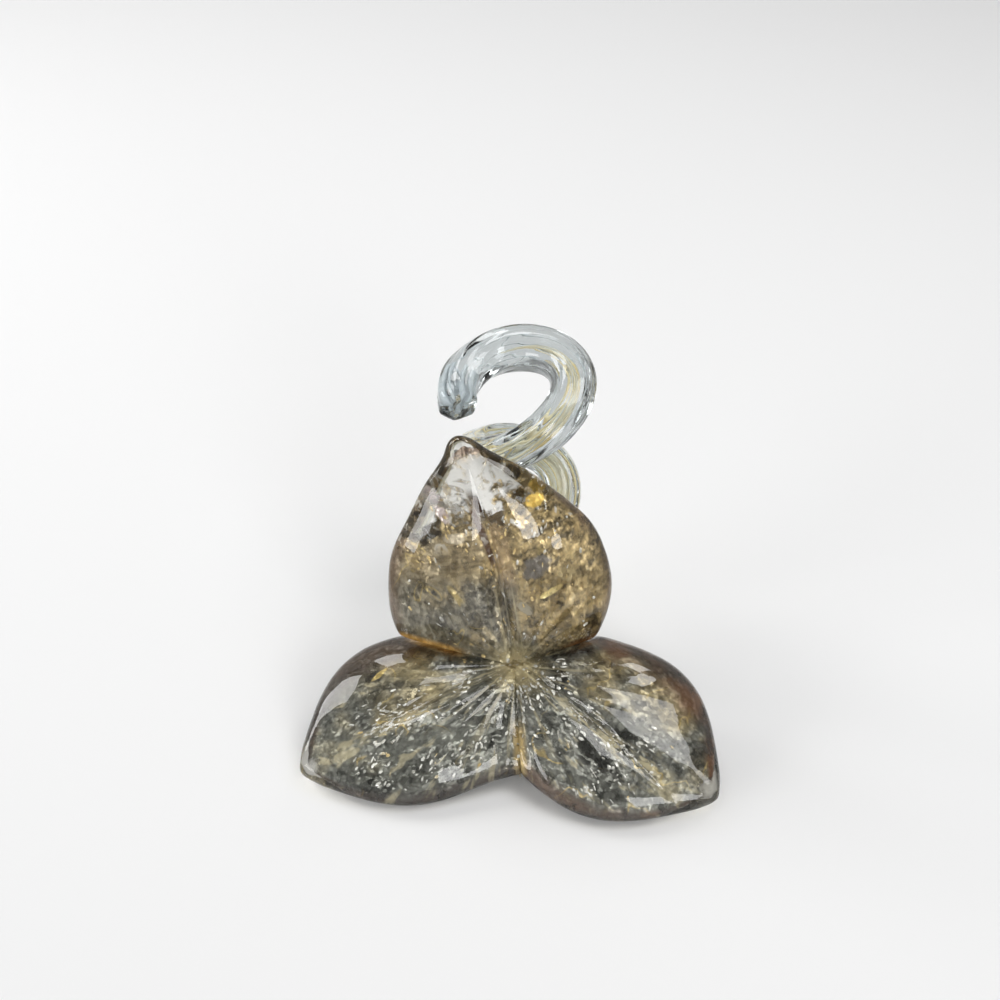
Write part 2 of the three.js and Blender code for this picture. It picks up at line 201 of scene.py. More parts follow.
heart_points = node_points("heart")
CENTRE = heart_points[(heart_points @ FACING).argmax()] - FACING * HEART_FRONT
CENTRE_M = tuple(CENTRE * MM)


# Shapes

def through(knots, at):
    """Values at places on a smooth curve through knots, with the mean of the slopes beside each one."""
    places, values = (np.asarray(row, float) for row in knots)
    slopes = np.diff(values) / np.diff(places)
    tangents = np.concatenate([slopes[:1], (slopes[:-1] + slopes[1:]) / 2, slopes[-1:]])
    at = np.asarray(at, float)
    i = np.clip(np.searchsorted(places, at) - 1, 0, len(slopes) - 1)
    run = places[i + 1] - places[i]
    p = (at - places[i]) / run
    rise = values[i + 1] - values[i]
    start, end = tangents[i] * run, tangents[i + 1] * run
    return values[i] + p * (start + p * (3 * rise - 2 * start - end + p * (start + end - 2 * rise)))


def around(sides):
    """Turns round a ring, as a row."""
    return np.linspace(0, 2 * math.pi, sides, endpoint=False)[None, :]


def kept_above_zero(distance, softness):
    """Distances that turn smoothly to nothing instead of going below zero."""
    return (distance + np.sqrt(distance**2 + softness**2)) / 2


def turned(axis, degrees):
    c, s = math.cos(math.radians(degrees)), math.sin(math.radians(degrees))
    i, j = [(1, 2), (2, 0), (0, 1)][axis]
    matrix = np.eye(3)
    matrix[i, i] = matrix[j, j] = c
    matrix[i, j], matrix[j, i] = -s, s
    return matrix


def on_table(points):
    """From the flower's own frame to the table that it leans on, pressed flat where it rests."""
    placed = CENTRE + points[..., :1] * RIGHT + points[..., 1:2] * UPWARD + points[..., 2:] * FACING
    placed[..., 2] = kept_above_zero(placed[..., 2], PETAL_REST_SOFTNESS)
    return placed


def pleats(points, radius):
    """How high the pleats stand that run out from the pinched heart."""
    bearing = np.arctan2(points[..., 1], points[..., 0])
    wander = bearing + PLEAT_WANDER * np.sin(WANDERS * bearing + WANDER_PHASE)
    height = np.sqrt(np.sin(PLEATS * wander) ** 2 + PLEAT_ROUNDING) - PLEAT_MIDDLE
    return height * np.exp(-radius / PLEAT_FADE) * (1 - np.exp(-radius / PLEAT_START))


def petal_rings(petal, layer):
    """Rings of a petal's glass or foil, from the heart to its tip, and marks of where each point is."""
    steps = np.linspace(0, 1, layer["stations"])
    ease = 1 - (1 - steps) ** STATION_EASE
    place = (ROOT_START + (layer["end"] - ROOT_START) * ease)[:, None]
    turn = around(layer["sides"])
    run = np.clip((place - layer["round_start"]) / (layer["end"] - layer["round_start"]), 0, 1)
    taper = np.sqrt(1 - run**2)
    front = np.sin(turn) >= 0
    full = through(FULL, place)

    half_side = np.sign(np.cos(turn))
    spread = petal["half_width"] * through(petal["outline"], place)
    skew = petal["skew"] * (1 - place) ** SKEW_FADE * half_side
    web = np.maximum(0, half_side * petal["web"] * (1 - place) ** WEB_FADE)
    across = (spread + skew + web - layer["rim_wall"]) * taper * np.cos(turn)
    along = petal["length"] * place + 0 * turn

    from_rib = across - petal["rib_turn"] * along
    soft = petal["soft_rib"]
    crease = soft * np.exp(-((from_rib / SOFT_RIB_WIDTH) ** 2))
    crease = crease + (1 - soft) * np.exp(-np.abs(from_rib) / SHARP_RIB_WIDTH)
    rib = np.where(front, FRONT_RIB, BACK_RIB) * full * np.minimum(1, 2 * (1 - place)) * crease
    depth = np.where(front, FRONT_FULLNESS, BACK_FULLNESS) * full - layer["face_wall"] - rib
    thick = depth * np.sin(turn) * taper

    points = np.stack([along, across + petal["lean"] * place**LEAN_BEND, thick], -1)
    set_in = turned(2, petal["direction"]) @ turned(1, -petal["cup"]) @ turned(0, petal["roll"])
    points = points @ set_in.T
    radius = np.hypot(points[..., 0], points[..., 1])
    pleat_depth = np.where(front, 1, -BACK_PLEATS) * layer["pleat_depth"] * taper
    points[..., 2] += pleat_depth * pleats(points, radius)
    # Walls on the seams, with the front pressed in along them
    for seam, inward in zip(petal["seams"], (1, -1)):
        angle = math.radians(seam)
        normal = inward * np.array([-math.sin(angle), math.cos(angle), 0])
        distance = points @ normal - layer["seam_wall"]
        pressed = np.exp(-((np.maximum(distance, 0) / SEAM_PRESS_WIDTH) ** 2))
        pressed = pressed * np.minimum(1, radius / SEAM_PRESS_START)
        points[..., 2] -= np.where(front, SEAM_PRESS, 0) * pressed * np.sin(turn)
        points += (kept_above_zero(distance, layer["softness"]) - distance)[..., None] * normal
    lengths = {"across": across, "along": along, "thick": thick, "from_rib": np.abs(from_rib)}
    marks = {label: values / MARK_UNIT for label, values in lengths.items()}
    marks["rim"] = np.cos(turn) + 0 * place
    return on_table(points), marks


def closed_skin(name, rings, marks=None):
    """A smooth closed mesh over rings of points, with marks that the materials read."""
    rows, sides = rings.shape[:2]
    ends = np.stack([rings[0].mean(0), rings[-1].mean(0)])
    points = np.concatenate([rings.reshape(-1, 3), ends]) * MM
    first, last, top = rows * sides, rows * sides + 1, (rows - 1) * sides
    side = np.arange(sides)
    after = (side + 1) % sides
    rows_at = np.arange(rows - 1)[:, None] * sides
    a, b = (rows_at + side).ravel(), (rows_at + after).ravel()
    faces = np.stack([a, b, b + sides, a + sides], 1).tolist()
    faces += np.stack([0 * side + first, after, side], 1).tolist()
    faces += np.stack([0 * side + last, top + side, top + after], 1).tolist()
    mesh = bpy.data.meshes.new(name)
    mesh.from_pydata(points.tolist(), [], faces)
    mesh.shade_smooth()
    for label, values in (marks or {}).items():
        layer = mesh.attributes.new(label, "FLOAT", "POINT")
        layer.data.foreach_set("value", np.concatenate([values.ravel(), values[[0, -1]].mean(1)]))
    return mesh


def outward(rings):
    """Directions out of a skin over rings."""
    beside = np.roll(rings, -1, 1) - np.roll(rings, 1, 1)
    along = np.gradient(rings, axis=0)
    normals = np.cross(beside, along)
    return normals / np.maximum(np.linalg.norm(normals, axis=-1, keepdims=True), 1e-9)


def crackled(rings):
    """Rings with the broken, flaky surface of foil that was crazed in hot glass."""
    lift = [
        noise.turbulence(Vector(p * CRACKLE_GRAIN), 3, True, noise_basis="VORONOI_F2F1")
        - WRINKLE_SHARE * noise.fractal(Vector(p * WRINKLE_GRAIN), 0.8, 2.0, 3)
        for p in rings.reshape(-1, 3)
    ]
    lift = np.array(lift).reshape(rings.shape[:2])
    return rings + outward(rings) * (CRACKLE * np.clip(lift - lift.mean(), -1, 1))[..., None]


def bezier(*corners):
    t = np.linspace(0, 1, BEND_STEPS)[:, None]
    weights = [(1 - t) ** 3, 3 * t * (1 - t) ** 2, 3 * t**2 * (1 - t), t**3]
    return sum(w * c for w, c in zip(weights, corners))


def stem_path(count):
    """Even points along the stem: from the boss to its foot, up into the coil, round to the hook."""
    petal_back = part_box("petal_top_casing")[1].y / MM
    axis_back = petal_back + COIL_CLEARANCE + STEM_LOOP_RADIUS + COIL_TOP_RADIUS
    turn = np.linspace(COIL_START_TURN, COIL_END_TURN, COIL_STEPS)
    widen = np.minimum(1, turn / COIL_WIDEN_TURNS) ** 2
    reach = COIL_BASE_RADIUS + (COIL_TOP_RADIUS - COIL_BASE_RADIUS) * widen
    levelling = np.maximum(0, turn - HOOK_START_TURN) ** 2 / (2 * (HOOK_LEVEL_TURN - HOOK_START_TURN))
    angle = 2 * math.pi * turn
    coil = np.stack([
        CENTRE[0] + COIL_BASE_SIDE * (1 - widen) + reach * np.sin(angle),
        axis_back - reach * np.cos(angle),
        CENTRE[2] + COIL_RISE + COIL_PITCH * (turn - levelling) + COIL_DIP * np.sin(angle),
    ], 1)
    tangent = (coil[1] - coil[0]) / np.linalg.norm(coil[1] - coil[0])
    seat = CENTRE - FACING * HEART_BACK
    heading = np.array([-math.sin(FOOT_HEADING), math.cos(FOOT_HEADING), 0])
    foot = np.array([CENTRE[0] + FOOT_SIDE, seat[1] + FOOT_BACK, FOOT_HEIGHT])
    root = bezier(seat, seat - ROOT_RUN * FACING, foot - ROOT_RUN * heading, foot)
    rise = bezier(foot, foot + FOOT_RUN * heading, coil[0] - RISE_RUN * tangent, coil[0])
    route = np.concatenate([root[:-1], rise[:-1], coil])
    length = np.concatenate([[0], np.cumsum(np.linalg.norm(np.diff(route, axis=0), axis=1))])
    even = np.linspace(0, length[-1], count)
    bend = length[len(root) + len(rise) - 2] / length[-1]
    path = np.stack([np.interp(even, length, route[:, k]) for k in range(3)], 1)
    return path, even, bend


def frames_along(path):
    along = np.gradient(path, axis=0)
    along /= np.linalg.norm(along, axis=1, keepdims=True)
    across = [RIGHT]
    for direction in along:
        side = across[-1] - direction * (across[-1] @ direction)
        across.append(side / np.linalg.norm(side))
    across = np.array(across[1:])
    return along, across, np.cross(along, across)


def stem_rings():
    """The fluted, twisted rod, rounded and chipped at the end of the hook."""
    path, even, bend = stem_path(STEM_STATIONS)
    along, across, up = frames_along(path)
    places = [0, bend, LOOP_PLACE, HOOK_PLACE, 1]
    radii = [STEM_BASE_RADIUS, STEM_LOOP_RADIUS, STEM_LOOP_RADIUS, STEM_HOOK_RADIUS, STEM_END_RADIUS]
    radius = through((places, radii), even / even[-1])
    twist = -2 * math.pi * even / TWIST_LENGTH
    # The rounded end
    over = np.linspace(0, 1, END_RINGS + 1)[1:] * math.pi / 2
    path = np.concatenate([path, path[-1] + along[-1] * (END_REACH * np.sin(over))[:, None]])
    across, up, twist = (
        np.concatenate([row, np.repeat(row[-1:], END_RINGS, 0)]) for row in (across, up, twist))
    closing = END_POINT + (1 - END_POINT) * np.cos(over) ** END_ROUNDING
    radius = np.concatenate([radius, radius[-1] * closing])

    turn = around(STEM_SIDES)
    flutes = FLUTE_DEPTH * np.cos(FLUTES * turn)
    flutes = flutes + FINE_FLUTE_DEPTH * np.cos(FINE_FLUTES * turn + FINE_FLUTE_PHASE)
    reach = radius[:, None] + flutes * np.minimum(1, radius[:, None] / FULL_FLUTE_RADIUS)
    angle = turn + twist[:, None]
    rings = path[:, None] + reach[..., None] * (
        np.cos(angle)[..., None] * across[:, None] + np.sin(angle)[..., None] * up[:, None])
    chips = rings[-CHIPPED_RINGS:]
    dent = [
        abs(noise.noise(Vector(p * CHIP_GRAIN)))
        + FINE_CHIP_SHARE * abs(noise.noise(Vector(p * FINE_CHIP_GRAIN)))
        for p in chips.reshape(-1, 3)
    ]
    deepening = np.linspace(0, CHIP_DEPTH, CHIPPED_RINGS)[:, None]
    depth = np.array(dent).reshape(chips.shape[:2]) * deepening
    chips -= outward(rings)[-CHIPPED_RINGS:] * depth[..., None]
    rings[..., 2] = kept_above_zero(rings[..., 2], STEM_REST_SOFTNESS)
    share = np.linspace(0, 1, len(rings))[:, None]
    lie = turn + LINE_LIE * twist[:, None]
    marks = {"along": share + 0 * turn, "round_x": np.cos(lie), "round_y": np.sin(lie)}
    return rings, marks


def heart_rings():
    """The pinched heart: a pleated nub in front, and a flared boss behind the petals."""
    smooth = np.linspace(0, 1, HEART_STATIONS)
    knots = np.linspace(0, 1, len(HEART_PROFILE))
    radius, height = (through((knots, row), smooth)[:, None] for row in HEART_PROFILE.T)
    turn = around(HEART_SIDES)
    setting_in = np.clip((height - HEART_PLEAT_START) / HEART_PLEAT_RUN, 0, 1)
    pleat = np.cos(PLEATS * turn + HEART_TWIST * height) * setting_in
    reach = radius * (1 + HEART_PLEAT * pleat)
    return on_table(np.stack([reach * np.cos(turn), reach * np.sin(turn), height + 0 * turn], -1))


# Node trees

BUMP_DISTANCE = 0.0004  # metres


class Wire:
    """An output in a node tree. Sums on it add Math nodes."""

    def __init__(self, tree, socket=None):
        self.tree = tree
        self.socket = socket

    def add(self, kind, settings=None, values=None, out=0):
        """A node of a kind, with its settings first and then what its inputs hold or are wired to."""
        node = self.tree.nodes.new(kind)
        for name, setting in (settings or {}).items():
            setattr(node, name, setting)
        for key, value in (values or {}).items():
            if isinstance(value, Wire):
                self.tree.links.new(value.socket, node.inputs[key])
            else:
                node.inputs[key].default_value = value
        return Wire(self.tree, node.outputs[out] if node.outputs else None)

    def also(self, out):
        """Another output of the same node."""
        return Wire(self.tree, self.socket.node.outputs[out])

    def maths(self, operation, *others):
        values = dict(enumerate((self, *others)))
        return self.add("ShaderNodeMath", {"operation": operation}, values)

    def __add__(self, other):
        return self.maths("ADD", other)

    def __sub__(self, other):
        return self.maths("SUBTRACT", other)

    def __rsub__(self, other):
        return self.add("ShaderNodeMath", {"operation": "SUBTRACT"}, {0: other, 1: self})

    def __mul__(self, other):
        return self.maths("MULTIPLY", other)

    def __truediv__(self, other):
        return self.maths("DIVIDE", other)

    def __pow__(self, other):
        return self.maths("POWER", other)

    def __abs__(self):
        return self.maths("ABSOLUTE")

    __radd__ = __add__
    __rmul__ = __mul__

    def at_least(self, other):
        return self.maths("MAXIMUM", other)

    def at_most(self, other):
        return self.maths("MINIMUM", other)

    def between(self, low, high):
        """0 below low, 1 above high and a smooth rise between; the other way round if low is above."""
        return self.add("ShaderNodeMapRange", {"interpolation_type": "SMOOTHSTEP"},
                        {"Value": self, "From Min": low, "From Max": high})

    def mixed(self, first, second):
        """A colour from first to second, by this factor."""
        first, second = (c if isinstance(c, Wire) else (*c, 1) for c in (first, second))
        return self.add("ShaderNodeMix", {"data_type": "RGBA"}, {0: self, 6: first, 7: second}, 2)

    def shading(self, colour):
        """A colour made lighter or darker by this factor."""
        return self.add("ShaderNodeMix", {"data_type": "RGBA", "blend_type": "MULTIPLY"},
                        {0: 1.0, 6: colour, 7: self}, 2)

    def vector(self, operation, other=(0, 0, 0), out=0):
        return self.add("ShaderNodeVectorMath", {"operation": operation}, {0: self, 1: other}, out)

    def scaled(self, factor):
        return self.add("ShaderNodeVectorMath", {"operation": "SCALE"}, {0: self, "Scale": factor})

    def noise(self, scale, detail=2.0, roughness=0.5, distortion=0.0, out=0):
        return self.add("ShaderNodeTexNoise", {}, {
            "Vector": self, "Scale": scale, "Detail": detail, "Roughness": roughness,
            "Distortion": distortion}, out)

    def cells(self, scale):
        """A colour by chance for each cell."""
        return self.add("ShaderNodeTexVoronoi", {}, {"Vector": self, "Scale": scale}, "Color")

    def bumped(self, height, strength):
        return self.add("ShaderNodeBump", {}, {
            "Height": height, "Strength": strength, "Distance": BUMP_DISTANCE}, "Normal")


def combined(x, y, z=0.0):
    return x.add("ShaderNodeCombineXYZ", {}, {"X": x, "Y": y, "Z": z})


def mark(start, name):
    return start.add("ShaderNodeAttribute", {"attribute_name": name}, {}, "Fac")


def object_place(start):
    return start.add("ShaderNodeTexCoord", out="Object")


def new_material(name):
    made = bpy.data.materials.new(name)
    made.use_nodes = True
    made.node_tree.nodes.clear()
    return made, Wire(made.node_tree)


def shaded(start, **values):
    """Ends a material in a Principled shader; its sockets' names have _ for a space."""
    named = {name.replace("_", " "): value for name, value in values.items()}
    shader = start.add("ShaderNodeBsdfPrincipled", {}, named)
    start.add("ShaderNodeOutputMaterial", {}, {"Surface": shader})


# Glass

GLASS_IOR = 1.5
PETAL_TINT = (0.9, 0.89, 0.85)
PETAL_RIPPLE = 0.1
# The rod's clear glass is greyed: painted shade for the dim surroundings that clear glass shows
STEM_GREY_PAINTED_SHADE = (0.6, 0.635, 0.64)
STEM_RIPPLE = 0.06
HEART_AMBER = (0.48, 0.38, 0.19)
HEART_GOLD = (0.76, 0.66, 0.42)


def clear_glass(name, tint, ripple, height):
    """Fire-polished glass with faint ripples, which lets light through to what it cases."""
    made, start = new_material(name)
    glass = start.add("ShaderNodeBsdfPrincipled", {}, {
        "Base Color": (*tint, 1), "Roughness": 0.0, "IOR": GLASS_IOR, "Transmission Weight": 1.0,
        "Normal": start.bumped(height(start), ripple)})
    passed = start.add("ShaderNodeBsdfTransparent", {}, {"Color": (*tint, 1)})
    shadow = start.add("ShaderNodeLightPath", out="Is Shadow Ray")
    surface = start.add("ShaderNodeMixShader", {}, {0: shadow, 1: glass, 2: passed})
    start.add("ShaderNodeOutputMaterial", {}, {"Surface": surface})
    return made


def soft_ripple(start):
    return object_place(start).noise(85.0)


def drawn_ripple(start):
    """Fine lines along the rod, drawn out as it was pulled."""
    x, y, along = (mark(start, name) for name in ("round_x", "round_y", "along"))
    return combined(x, y, along).noise(4.6, 3.0, 0.55)


def drawn_thread(name, pale, deep):
    """Opaque thread drawn out in the rod, paler and deeper along it."""
    made, start = new_material(name)
    where = object_place(start)
    colour = where.noise(160.0, 3.0, 0.6).between(0.35, 0.65).mixed(pale, deep)
    shaded(start, Base_Color=colour, Roughness=where.noise(700.0).between(0.2, 0.8) * 0.2 + 0.2)
    return made


def golden_heart():
    """Amber glass with pale gold streaks."""
    made, start = new_material("golden_heart")
    streaks = object_place(start).noise(420.0, 4.0, 0.6, 1.2)
    colour = streaks.between(0.35, 0.65).mixed(HEART_AMBER, HEART_GOLD)
    shaded(start, Base_Color=colour, Roughness=0.3 - streaks * 0.25, Transmission_Weight=0.7,
           IOR=GLASS_IOR, Normal=start.bumped(streaks, 0.25))
    return made


# Foil. Places on a petal are in tenths of a metre across and along it, as its marks are; on the top
# petal, across counts to the left. Distances from the heart are in metres.

TAN = (0.34, 0.26, 0.14)
RIVULET_GOLD = (0.6, 0.47, 0.2)
BURNT_RIM = (0.035, 0.025, 0.018)
CREAM_LINE = (0.5, 0.45, 0.3)
HEART_CREAM_AND_PAINTED_LIGHT = (0.72, 0.63, 0.4)
FOLD_TAN = (0.52, 0.385, 0.23)
SLIT_BROWN = (0.07, 0.028, 0.01)
SPECK_WHITE = (0.75, 0.73, 0.68)
NUB_BROWN = (0.1, 0.06, 0.04)
NUB_PAINTED_HIGHLIGHT = (0.46, 0.36, 0.29)
LEAF_DULL = (0.5, 0.5, 0.47)
LEAF_BRIGHT = (0.97, 0.97, 0.95)
LEAF_GOLD = (0.8, 0.62, 0.3)
# Amber along the seams; the bright orange on the top-left seam is partly a painted highlight
SEAM_AMBER_AND_HIGHLIGHT = {
    SEAM_TOP_RIGHT: (0.35, 0.15, 0.04), SEAM_TOP_LEFT: (0.62, 0.36, 0.1), SEAM_LOW: (0.5, 0.38, 0.18),
}
# A bundle of pale hairs is a bearing and a width in radians, and a strength. A plate is a place across
# and along, a length, a width, a turn and a colour.
LOOKS = {
    "petal_top": {
        "clear_tip": True, "silver": (0.2, 0.185, 0.145), "gilt": (0.37, 0.285, 0.145), "metal": 0.5,
        "gold_across": -3.5, "gold_along": 1.5, "gold_from": -0.35, "gold_leaf": 0.44,
        "fade": (0.48, 0.53), "tip_slope": 0.12, "brown_side": 0.0, "rim": (0.15, 0.095, 0.055),
        "rim_from": (0.6, 0.9), "ray_reach": (0.045, 0.02), "fold_highlight_reach": (0.022, 0.006),
        "grain": 2.0, "mottle": 1.7, "flecks": 0.55, "lines": 0.2, "fold_highlights": 0.4, "bundle": None,
        "shards": 110000.0,
        "plates": (
            (-0.145, 0.525, 0.024, 0.02, 0.2, (0.85, 0.6, 0.16)),
            # This grey plate is a painted reflection of something dark, not leaf
            (-0.106, 0.335, 0.044, 0.03, -0.3, (0.19, 0.172, 0.15)),
            (-0.139, 0.255, 0.034, 0.008, -0.36, (0.8, 0.66, 0.3)),
            (-0.055, 0.215, 0.024, 0.014, 0.9, (0.4, 0.36, 0.27)),
            (-0.19, 0.3, 0.03, 0.024, 0.4, (0.4, 0.32, 0.17)),
            (0.1, 0.46, 0.03, 0.014, 0.1, (0.55, 0.48, 0.36)),
            (0.113, 0.53, 0.03, 0.018, 1.1, (0.75, 0.66, 0.66)),
        ),
    },
    "petal_left": {
        "silver": (0.165, 0.17, 0.154), "gilt": (0.22, 0.188, 0.112), "gold_across": -2.5,
        "brown_side": -1.0, "rim": (0.062, 0.038, 0.023), "rim_from": (0.42, 0.72),
        "bundle": (-2.71, 0.045, 0.6),
        "plates": ((-0.13, 0.37, 0.03, 0.007, 1.31, (0.5, 0.39, 0.15)),),
    },
    "petal_right": {
        "silver": (0.195, 0.2, 0.183), "gilt": (0.22, 0.185, 0.11), "gold_across": 2.5,
        "brown_side": 1.0, "rim": (0.12, 0.058, 0.028), "rim_from": (0.52, 0.82),
        "bundle": (-0.637, 0.1, 1.0), "plates": (),
    },
}
# What the two lower petals share
LOWER_LOOK = {
    "clear_tip": False, "metal": 0.6, "gold_along": 0, "gold_from": -0.25, "gold_leaf": 0.6,
    "fade": (0.62, 0.7), "tip_slope": 0.0, "ray_reach": (0.2, 0.1), "fold_highlight_reach": (0.034, 0.01),
    "grain": 3.0, "mottle": 0.8, "flecks": 0.35, "lines": 0.75, "fold_highlights": 0.7, "shards": 450000.0,
}


class Foil:
    """Where a point lies on a petal's foil, and the broken patterns that its layers share."""

    def __init__(self, start, look):
        self.start = start
        self.look = look
        self.where = object_place(start)
        self.across, self.along, self.thick, self.rim, self.from_rib = (
            mark(start, label) for label in ("across", "along", "thick", "rim", "from_rib"))
        from_heart = self.where.vector("SUBTRACT", CENTRE_M)
        self.x, self.y, self.ahead = (
            from_heart.vector("DOT_PRODUCT", tuple(axis), 1) for axis in (RIGHT, UPWARD, FACING))
        self.radius = (self.x * self.x + self.y * self.y) ** 0.5
        self.bearing = self.y.maths("ARCTAN2", self.x)
        wander = self.bearing + (self.bearing * WANDERS + WANDER_PHASE).maths("SINE") * PLEAT_WANDER
        self.pleat = abs((wander * PLEATS).maths("SINE"))

        outward_at = combined(self.x / self.radius, self.y / self.radius, self.radius * 9)
        self.rays = outward_at.noise(5.0, 4.0, 0.6, 0.3)
        self.fine_rays = outward_at.noise(15.0, 2.0, 0.5, 0.2)
        self.hair = outward_at.noise(38.0, 2.0, 0.5, 0.2)
        self.clouds = self.where.noise(60.0, 2.0, 0.5, 0.5)
        self.mottle = self.where.noise(190.0, 2.0, 0.5, 0.8)
        self.flecks = self.where.noise(620.0, 1.0, 0.5, 0.6)

        plate_at = combined(self.across, self.along * 0.5, self.thick)
        shift = plate_at.noise(40.0, 3.0, out=1).vector("MULTIPLY", (0.04, 0.04, 0.04))
        plate_at = plate_at.vector("ADD", shift)
        self.broad_plates = plate_at.cells(24.0)
        self.fine_plates = plate_at.cells(80.0)
        self.chance = start.add("ShaderNodeSeparateColor", {}, {0: self.fine_plates})

    def brushed(self, lean, scale):
        """Noise drawn out in a direction on the petal's face."""
        c, s = math.cos(lean), math.sin(lean)
        drawn_out = (self.across * c + self.along * s) * 0.1
        at = combined(drawn_out, self.along * c - self.across * s, self.thick)
        return at.noise(scale, 2.0, 0.5, 0.3)


def leaf_colour(foil):
    """Silver leaf with gold in places, lighter and darker in streaks, clouds, plates and flecks."""
    look, across, along = foil.look, foil.across, foil.along
    gold = foil.clouds * 2.2 + foil.rays * 0.9 - 1.5 + look["gold_from"]
    gold = gold + across * look["gold_across"] + along * look["gold_along"]
    colour = gold.between(-0.4, 0.4).mixed(look["silver"], look["gilt"])
    shade = (foil.rays - 0.5) * foil.radius.between(*look["ray_reach"]) * look["grain"]
    shade = shade + (foil.clouds - 0.5) * 1.5 + 0.95
    shade = shade + (foil.mottle - 0.5) * look["mottle"] + (foil.chance - 0.5) * 0.7
    shade = shade + (foil.flecks.between(0.4, 0.6) - 0.45) * look["flecks"]
    if look["clear_tip"]:
        tan_band = across.between(0.02, 0.05) * along.between(0.31, 0.36) * along.between(0.48, 0.43)
        slanted = across.between(-0.05, -0.1) * along.between(0.26, 0.36)
        shade = shade + (foil.brushed(0.0, 100.0) - 0.45) * tan_band * 5
        shade = shade + (foil.brushed(-0.45, 70.0) - 0.5) * slanted * 4
    colour = shade.at_least(0.25).at_most(2.0).shading(colour)
    if look["clear_tip"]:
        colour = (tan_band * 0.45).mixed(colour, TAN)
    rivulet = abs(foil.where.noise(70.0, 2.0, 0.5, 0.6) - 0.5).between(0.014, 0.004)
    return (rivulet * foil.clouds.between(0.5, 0.6) * 0.7).mixed(colour, RIVULET_GOLD)


def pale_lines(foil):
    """Streaks, pale lines on the pleat folds and hairs that run out from the heart, and strips beside
    the top petal's rib. The lines on the folds are partly painted highlight.
    """
    look, radius = foil.look, foil.radius
    streaks = foil.fine_rays.between(0.56, 0.66) * foil.rays.between(0.42, 0.55)
    streaks = streaks * radius.between(*look["ray_reach"]) * look["lines"]
    # Pale lines along the pleat folds: partly gold in the leaf, partly painted highlight on the folds
    fold_highlights = (foil.pleat + (foil.rays - 0.5) * 0.8).between(0.4, 0.05)
    lines = streaks.at_least(fold_highlights * radius.between(*look["fold_highlight_reach"]) * look["fold_highlights"])
    if look["bundle"]:
        bearing, width, strength = look["bundle"]
        bundle = abs(foil.bearing - bearing).between(width, width * 0.3) * strength
        hairs = (foil.hair + (foil.fine_rays - 0.5) * 0.6).between(0.4, 0.58)
        lines = lines.at_least(bundle * radius.between(0.062, 0.045) * hairs)
    if look["clear_tip"]:
        strips = abs((foil.across * 120 + 0.6).maths("SINE")).between(0.5, 0.1)
        strips = strips * foil.from_rib.between(0.06, 0.03) * foil.along.between(0.36, 0.24) * 0.6
        lines = lines.at_least(strips)
    return lines


def seam_amber_and_highlight(foil, colour, seams):
    """Amber along the seams, on the front; the bright orange on the top-left seam is partly a painted
    highlight.
    """
    for seam in seams:
        a = math.radians(seam)
        beside = abs(foil.x * -math.sin(a) + foil.y * math.cos(a))
        near = beside.between(0.0026, 0.0008) * foil.radius.between(0.013, 0.02)
        near = near * foil.ahead.between(-0.003, 0.003) * foil.rays.between(0.3, 0.5)
        colour = near.mixed(colour, SEAM_AMBER_AND_HIGHLIGHT[seam])
    return colour


def plate_near(foil, at_across, at_along, length, width, lean):
    """Where a larger plate lies, with a ragged edge; most are leaf, and one grey plate on the top petal
    is a painted reflection.
    """
    c, s = math.cos(lean), math.sin(lean)
    across, along = foil.across - at_across, foil.along - at_along
    u = (across * c + along * s) * (1 / length)
    v = (along * c - across * s) * (1 / width)
    return (u * u + v * v + (foil.mottle - 0.5) * 3 + (foil.hair - 0.5)).between(1.4, 0.6)


def facets_tilted(foil, brown):
    """Normals of leaf that is broken into facets, which lie smoother where it is burnt brown."""
    def tilts(plates, reach):
        return plates.vector("SUBTRACT", (0.5, 0.5, 0.5)).vector("MULTIPLY", (reach, reach, reach))

    tilt = tilts(foil.broad_plates, 0.4).vector("ADD", tilts(foil.fine_plates, 0.3))
    normal = foil.start.add("ShaderNodeNewGeometry", out="Normal")
    return normal.vector("ADD", tilt.scaled(1 - brown)).vector("NORMALIZE")


